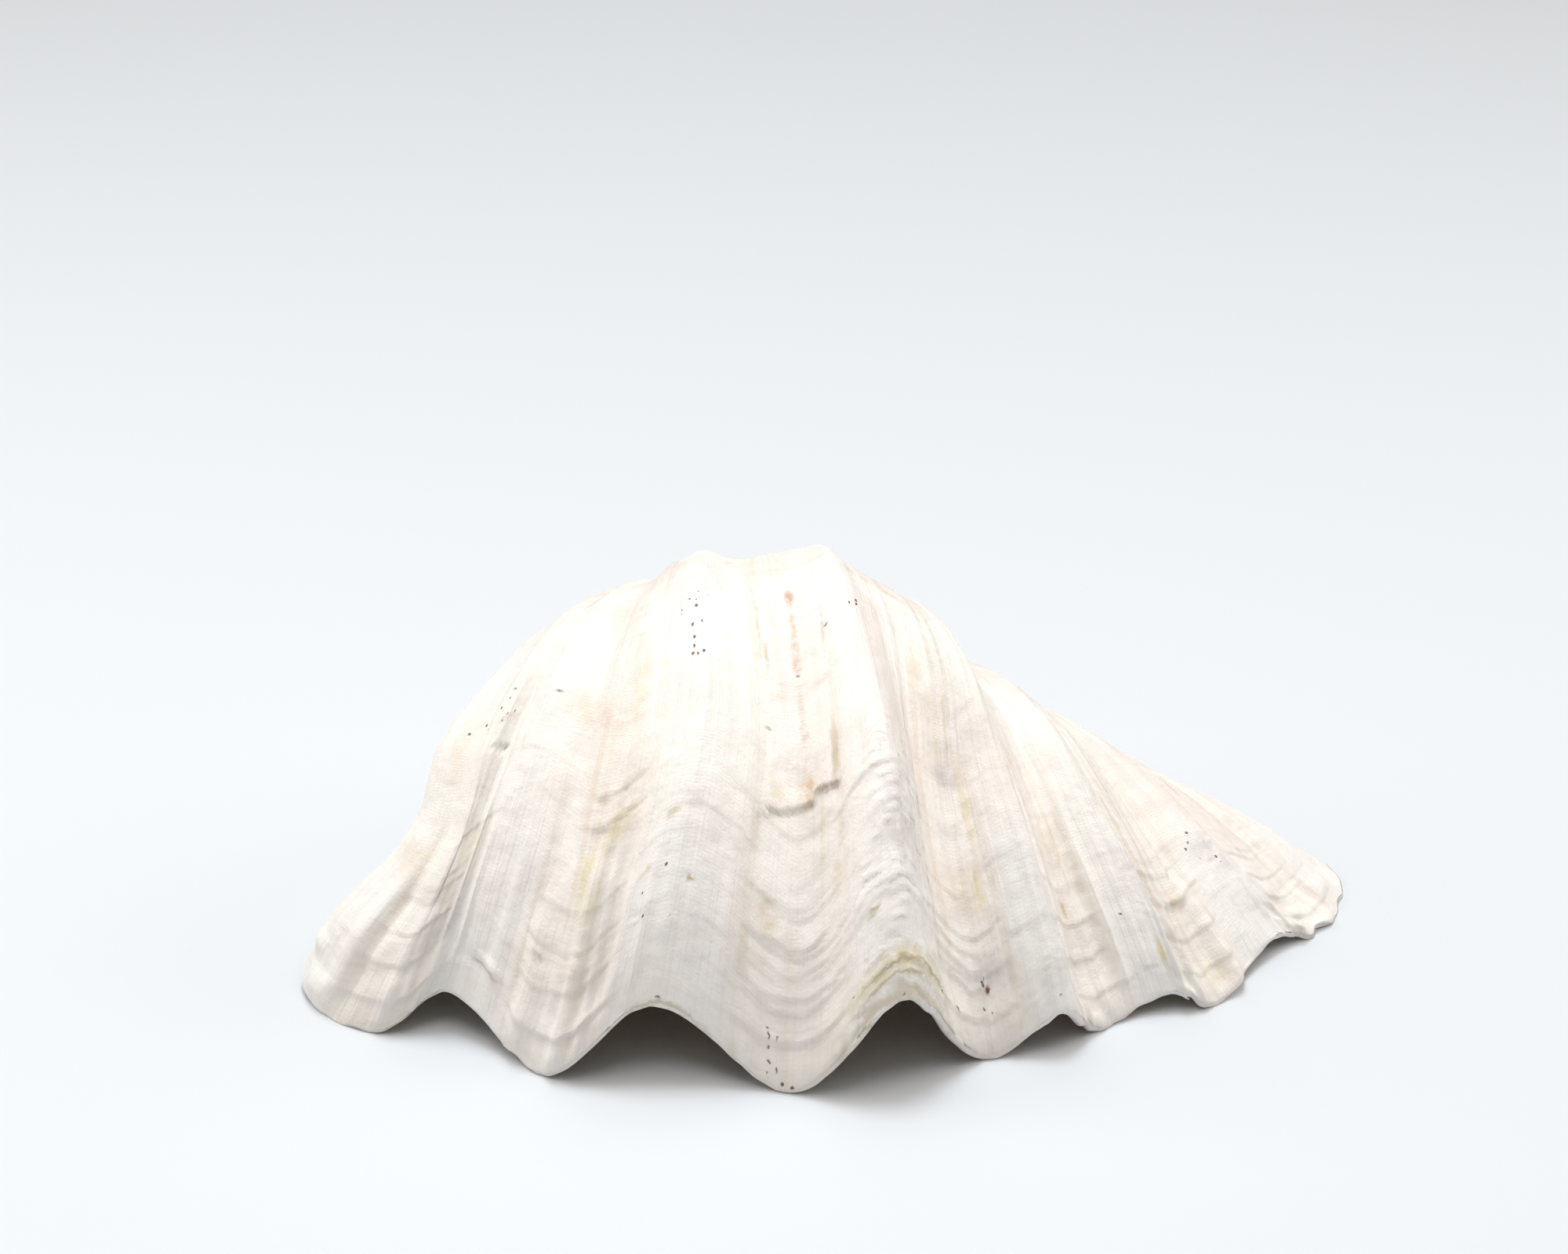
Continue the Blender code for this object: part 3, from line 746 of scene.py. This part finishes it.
BLEACHED = [(1.3, 0.8, 0.62, 0.22, 0.7), (0.6, 0.5, 0.9, 0.3, 0.5), (3.0, 0.4, 0.12, 0.1, 0.4),
            (12.4, 0.8, 0.25, 0.2, 0.6), (5.0, 0.35, 0.3, 0.16, 0.35), (9.0, 0.6, 0.9, 0.3, 0.4)]
# Colours and their marks: mostly the shell's own stains, but the olive lines at the foot of ledges and the grey
# patches in dents and hollows are partly painted shade.
STAINS_AND_SHADE = [
    ((0.76, 0.64, 0.48),
     [(2.62, 0.36, 0.85, 0.05, 0.5), (2.97, 0.1, 0.8, 0.11, 0.4), (3.1, 0.12, 0.97, 0.12, 0.35),
      (5.06, 0.12, 0.635, 0.045, 0.9), (4.72, 0.08, 0.61, 0.06, 0.5), (3.65, 0.07, 0.337, 0.014, 0.9),
      (4.42, 0.11, 1.41, 0.04, 0.5), (0.35, 0.25, 0.45, 0.05, 0.5), (7.05, 0.22, 0.38, 0.06, 0.35),
      (9.05, 0.09, 0.31, 0.05, 0.55), (9.1, 0.3, 0.5, 0.09, 0.35), (8.9, 0.25, 0.74, 0.06, 0.3),
      (4.72, 0.08, 0.335, 0.035, 0.75), (5.37, 0.05, 0.38, 0.045, 0.6), (11.12, 0.16, 0.3, 0.035, 0.4),
      (6.75, 0.1, 0.95, 0.08, 0.5), (6.9, 0.12, 0.82, 0.1, 0.3), (0.5, 0.1, 0.8, 0.12, 0.4),
      (2.5, 0.2, 1.25, 0.1, 0.3), (5.2, 0.7, 1.335, 0.012, 0.35), (6.3, 0.5, 1.24, 0.02, 0.4)]),
    ((0.79, 0.71, 0.46),
     [(2.96, 0.07, 0.45, 0.07, 0.8), (3.2, 0.13, 0.53, 0.035, 0.7), (3.05, 0.1, 0.38, 0.05, 0.5),
      (10.16, 0.09, 0.12, 0.035, 0.9), (6.0, 0.5, 0.085, 0.03, 0.75), (6.42, 0.12, 0.1, 0.04, 0.5),
      (7.33, 0.05, 0.58, 0.13, 0.7), (7.26, 0.06, 0.37, 0.05, 0.8), (7.15, 0.07, 0.85, 0.1, 0.4),
      (1.45, 0.2, 0.45, 0.05, 0.35), (3.2, 0.1, 0.88, 0.1, 0.35), (11.2, 0.12, 0.08, 0.04, 0.35)]),
    # Olive: stains, and thin lines at the foot of ledges and in a dent, partly painted shade.
    ((0.50, 0.42, 0.27),
     [(2.97, 0.08, 0.618, 0.016, 0.45), (3.28, 0.15, 0.64, 0.012, 0.3), (3.02, 0.1, 0.545, 0.012, 0.35),
      (3.3, 0.12, 0.56, 0.014, 0.3), (6.0, 0.6, 0.02, 0.018, 0.6), (4.1, 0.03, 0.285, 0.007, 0.9),
      (5.74, 0.06, 0.213, 0.01, 0.8), (4.63, 0.035, 0.76, 0.008, 0.8), (5.41, 0.045, 0.65, 0.07, 0.75),
      (3.83, 0.08, 0.44, 0.012, 0.5), (6.1, 0.45, 0.088, 0.005, 0.7), (5.95, 0.4, 0.062, 0.004, 0.6),
      (9.02, 0.04, 0.315, 0.02, 0.6), (11.12, 0.06, 0.29, 0.012, 0.5), (4.0, 0.35, 0.008, 0.01, 0.6)]),
    # Grey: patches in dents and hollows, partly painted shade.
    ((0.66, 0.60, 0.60),
     [(5.0, 0.45, 0.68, 0.024, 0.5), (7.0, 0.12, 0.68, 0.03, 0.7), (7.22, 0.1, 0.655, 0.03, 0.55),
      (6.08, 0.25, 0.36, 0.09, 0.6), (11.87, 0.18, 0.36, 0.05, 0.5), (12.0, 0.2, 0.3, 0.04, 0.4),
      (2.68, 0.04, 0.235, 0.008, 0.8), (7.2, 0.15, 0.19, 0.05, 0.5), (12.05, 0.15, 0.14, 0.04, 0.3),
      (2.55, 0.2, 0.38, 0.08, 0.3), (1.5, 0.2, 0.24, 0.08, 0.5)]),
    ((0.55, 0.33, 0.22),
     [(5.0, 0.045, 1.19, 0.035, 0.8), (5.0, 0.03, 1.1, 0.07, 0.5), (5.0, 0.045, 1.02, 0.05, 0.55),
      (5.0, 0.06, 0.955, 0.025, 0.6), (4.62, 0.02, 1.1, 0.16, 0.4), (4.67, 0.02, 0.98, 0.05, 0.5),
      (5.38, 0.03, 1.02, 0.06, 0.35), (5.02, 0.045, 0.82, 0.06, 0.3), (5.06, 0.05, 0.755, 0.012, 0.5),
      (5.08, 0.05, 0.63, 0.025, 0.4), (2.25, 0.14, 0.118, 0.006, 0.6), (7.25, 0.03, 0.4, 0.03, 0.35)]),
    ((0.17, 0.06, 0.03), [(7.13, 0.035, 0.155, 0.011, 1.0)]),
    ((0.09, 0.08, 0.06),
     [(9.75, 0.018, 0.24, 0.0035, 1), (6.72, 0.014, 0.085, 0.006, 0.9), (7.06, 0.014, 0.118, 0.005, 0.9),
      (5.43, 0.03, 1.02, 0.005, 0.8), (2.15, 0.05, 0.88, 0.004, 0.7), (1.0, 0.04, 0.98, 0.006, 0.8),
      (4.79, 0.008, 0.125, 0.003, 0.9), (4.8, 0.007, 0.104, 0.008, 0.9), (4.87, 0.01, 0.113, 0.004, 0.8),
      (4.8, 0.007, 0.08, 0.003, 0.9), (4.81, 0.008, 0.056, 0.005, 0.9), (4.88, 0.01, 0.052, 0.004, 0.8),
      (4.81, 0.007, 0.03, 0.003, 0.9), (4.0, 0.02, 0.022, 0.003, 0.8), (6.0, 0.02, 0.02, 0.003, 0.8),
      (5.53, 0.01, 0.10, 0.003, 0.7), (8.0, 0.03, 0.045, 0.003, 0.6), (5.0, 0.03, 0.925, 0.003, 0.7)])]
PITTED = [(3.88, 0.1, 1.0, 0.16, 1.0), (3.72, 0.06, 1.12, 0.05, 0.9), (4.02, 0.05, 1.1, 0.05, 0.8), (5.92, 0.12, 1.03, 0.05, 0.9),
          (3.8, 0.25, 0.32, 0.1, 0.35),
          (11.9, 0.25, 0.35, 0.08, 0.5), (1.0, 0.5, 0.95, 0.15, 0.3), (4.9, 0.2, 0.015, 0.02, 0.7),
          (6.5, 0.12, 0.1, 0.04, 0.6), (6.3, 0.15, 0.31, 0.04, 0.5), (7.15, 0.1, 0.17, 0.06, 0.5)]


def patch(way, age, middle, reach, old, age_reach, strength):
    """A soft round patch round one way and age."""
    across, along = (way - middle) / reach, (age - old) / age_reach
    return ((across * across + along * along) ** 0.5).smooth(1.6, 0.3) * strength


patch_group = formula_group(patch, ("Middle", "Reach", "Old", "Age reach", "Strength"), "ShaderNodeTree")


def patches(way, age, marks):
    """The strongest of the patches at each place."""
    return reduce(lambda one, other: one.to("MAXIMUM", other), for_each_row(patch_group, way, age, marks))


def pits(graph, way, age):
    """Small holes, scattered one to a cell, where the shell is pitted."""
    sockets = {"Vector": graph.vector(way * 15, age * 46, 0), "Scale": 1.0}
    away = graph.add("ShaderNodeTexVoronoi", {}, sockets, "Distance")
    chance = graph.add("ShaderNodeSeparateColor", {}, {"Color": away.sibling("Color")})
    present = (patches(way, age, PITTED) * 0.6 + 0.004 - chance).smooth(0, 0.04)
    size = 0.22 + chance * 0.4
    return (size - away).smooth(0, 0.07) * present


# %% Material
def outside_colour(graph, way, age, place):
    """The chalky outside, as a colour and the share of pits: their near black is partly painted shade."""
    frayed_way = way + (graph.noise(place, 300, 4) - 0.5) * 0.09
    frayed_age = age + (graph.noise(place + (0.2, 0, 0), 300, 4) - 0.5) * 0.05
    bent = bent_age(graph, way, age)
    rib = (way * math.pi).to("COSINE") * on_ribs(way)
    broad = graph.noise(place, 55, 3)
    fine = graph.noise(place, 420, 3, 0.6)
    striae = graph.noise(graph.vector(way * 34, age * 2.2, 3), 1, 3, 0.6)
    streaks = graph.noise(graph.vector(way * 8, age * 1.1, 8), 1, 3)
    bands = graph.noise(graph.vector(way * 0.5, bent * 42, 1), 1, 2)
    colour = graph.mixed(rib.smooth(0.7, -0.5) * broad.smooth(0.3, 0.65) * 0.5, CHALK, WARM)
    cool = rib.smooth(-0.3, 0.5) * age.smooth(0.52, 0.34) * broad.smooth(0.7, 0.4)
    colour = graph.mixed(cool * 0.75, colour, COOL_WHITE)
    blush = graph.noise(place + (0.4, 0, 0), 38, 2).smooth(0.45, 0.68) * age.smooth(0.25, 0.6)
    colour = graph.mixed(blush * 0.55, colour, PINK)
    colour = graph.mixed(streaks.smooth(0.52, 0.72) * rib.smooth(0.6, -0.4) * 0.5, colour, (0.77, 0.67, 0.53))
    colour = graph.mixed(striae.smooth(0.5, 0.72) * 0.3, colour, (0.80, 0.70, 0.66))
    colour = graph.mixed(striae.smooth(0.45, 0.25) * age.smooth(0.4, 0.8) * 0.26, colour, (0.90, 0.85, 0.68))
    colour = graph.mixed(bands.smooth(0.54, 0.70) * (0.9 - rib * 0.3) * 0.22, colour, (0.70, 0.62, 0.58))
    colour = graph.mixed(fine.smooth(0.45, 0.75) * 0.14, colour, (0.75, 0.69, 0.62))
    # Darker lines along the steep groove walls: partly dirt, partly painted shade.
    side = (abs(rib + 0.17) * 5).bell() * graph.noise(graph.vector(way * 2.7, age * 9, 2), 1, 2).smooth(0.45, 0.62)
    colour = graph.mixed(side * age.smooth(0.75, 0.5) * 0.35, colour, (0.66, 0.55, 0.46))
    # Darker at the foot of each scale, under the next one's edge: painted shade.
    scale_foot_shade = (scale_age(graph, way, bent) * SCALES_PER_AGE).to("FRACT").smooth(0.72, 0.95) * scaly(graph, way, age)
    colour = graph.mixed(scale_foot_shade * fine.smooth(0.3, 0.65) * 0.5, colour, (0.55, 0.47, 0.40))
    colour = graph.mixed(patches(frayed_way, frayed_age, BLEACHED), colour, CHALK)
    # Stains, and the painted shade in the olive and grey marks.
    for stain_and_shade, marks in STAINS_AND_SHADE:
        uneven = fine.smooth(0.2, 0.6) if max(stain_and_shade) > 0.5 else 1
        colour = graph.mixed(patches(frayed_way, frayed_age, marks) * uneven, colour, stain_and_shade)
    behind, share = behind_step(graph, way, age)
    # A brown line along the broken step's edge: partly dirt, partly painted shade on its face.
    step_line_shade_and_dirt = (behind * 90 - 0.35).bell() * share * way.smooth(4.8, 5.3)
    colour = graph.mixed(step_line_shade_and_dirt * fine.smooth(0.25, 0.6) * 0.7, colour, (0.42, 0.29, 0.17))
    holes = pits(graph, way, age)
    # The pits are painted near black: partly dirt, partly painted shade in holes that are only a bump.
    return graph.mixed(holes * 0.9, colour, (0.14, 0.11, 0.08)), holes


def inside_colour(graph, age, place):
    """Warm porcelain, ivory along the edge and tan deeper in: partly its own tint, partly painted shade."""
    cloudy = graph.noise(place, 45, 3)
    # The tan deepens into the hollow, as painted shade there.
    tan_and_shade_share = (age + (cloudy - 0.5) * 0.25).smooth(0.12, 0.45)
    colour = graph.mixed(tan_and_shade_share, IVORY, INNER_TAN_AND_SHADE)
    return graph.mixed(graph.noise(place, 160, 3).smooth(0.5, 0.75) * 0.3, colour, (0.50, 0.33, 0.19))


def fine_relief(graph, way, age, place, holes, inside):
    """What is too fine for the mesh, in millimetres: growth lines, striae and grain."""
    bent = bent_age(graph, way, age)
    growth = (bent * 105).to("FRACT") * graph.noise(graph.vector(way * 2, age * 9, 3), 1, 2).smooth(0.35, 0.65)
    striae = graph.noise(graph.vector(way * 26, age * 2.2, 3), 1, 3, 0.6)
    grain = graph.noise(place, 900, 3, 0.65)
    rough = growth * -0.12 + striae * 0.32 + grain * 0.16 + graph.noise(place, 260, 3) * 0.3 - holes * 0.5
    return rough * (1 - inside * 0.9)


def shell_lime():
    material = bpy.data.materials.new("shell_lime")
    material.use_nodes = True
    graph = Graph(material.node_tree)
    shader = material.node_tree.nodes["Principled BSDF"]

    def stored(name):
        return graph.add("ShaderNodeAttribute", {"attribute_name": name}, {}, "Fac")

    way, age, hinge = stored("way"), stored("age"), stored("hinge")
    inside = stored("inside").smooth(0.25, 0.85).to("MAXIMUM", hinge.smooth(0.2, 0.8) * 0.4)
    place = graph.add("ShaderNodeTexCoord", {}, {}, "Object")
    outside, holes = outside_colour(graph, way, age, place)
    plain = graph.mixed(graph.noise(place, 90, 3).smooth(0.3, 0.7), CHALK, WARM)
    outside = graph.mixed(hinge.smooth(0, 0.3), outside, plain)
    graph.plug(shader.inputs["Base Color"], graph.mixed(inside, outside, inside_colour(graph, age, place)))
    satin = 0.6 - inside * 0.28 - age.smooth(0.45, 0.2) * 0.1 + holes * 0.2
    graph.plug(shader.inputs["Roughness"], satin)
    height = fine_relief(graph, way, age, place, holes * (1 - hinge), inside)
    graph.plug(shader.inputs["Normal"], graph.add("ShaderNodeBump", {}, {"Height": height, "Distance": 0.001}))
    return material


# %% [markdown]
# ## Growing the valve
# The tree runs as a modifier on the net. Its sizes are set by each socket's identifier before the
# net is looked at for the first time. The result is made a plain mesh and moved sideways so that its
# box has the same middle as the imported shell's, seen from above, which is where the part's own
# frame has its origin.

# %% Run the tree and keep the mesh
def grown_mesh():
    net = bpy.data.objects.new("net", net_mesh)
    scene.collection.objects.link(net)
    tree = grow_valve(shell_lime())
    modifier = net.modifiers.new("grow", "NODES")
    modifier.node_group = tree
    for item in tree.interface.items_tree:
        if item.in_out == "INPUT" and item.name in SIZES:
            modifier[item.identifier] = SIZES[item.name]
    depsgraph = bpy.context.evaluated_depsgraph_get()
    mesh = bpy.data.meshes.new_from_object(net.evaluated_get(depsgraph))
    bpy.data.objects.remove(net)
    return mesh


def centre_on_frame(mesh):
    low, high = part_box("valve")
    points = np.empty(len(mesh.vertices) * 3, dtype=np.float32)
    mesh.vertices.foreach_get("co", points)
    points = points.reshape(-1, 3)
    off = (points.min(axis=0) + points.max(axis=0)) / 2 - (np.array(low) + np.array(high)) / 2
    points -= (off[0], off[1], 0)
    mesh.vertices.foreach_set("co", points.ravel())
    mesh.update()


valve_mesh = grown_mesh()
centre_on_frame(valve_mesh)
valve_mesh.shade_smooth()
valve = bpy.data.objects.new("clam_valve", valve_mesh)
scene.collection.objects.link(valve)
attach(valve, "root")
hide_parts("valve")
print("valve:", len(valve_mesh.vertices), "points,", len(valve_mesh.polygons), "faces")
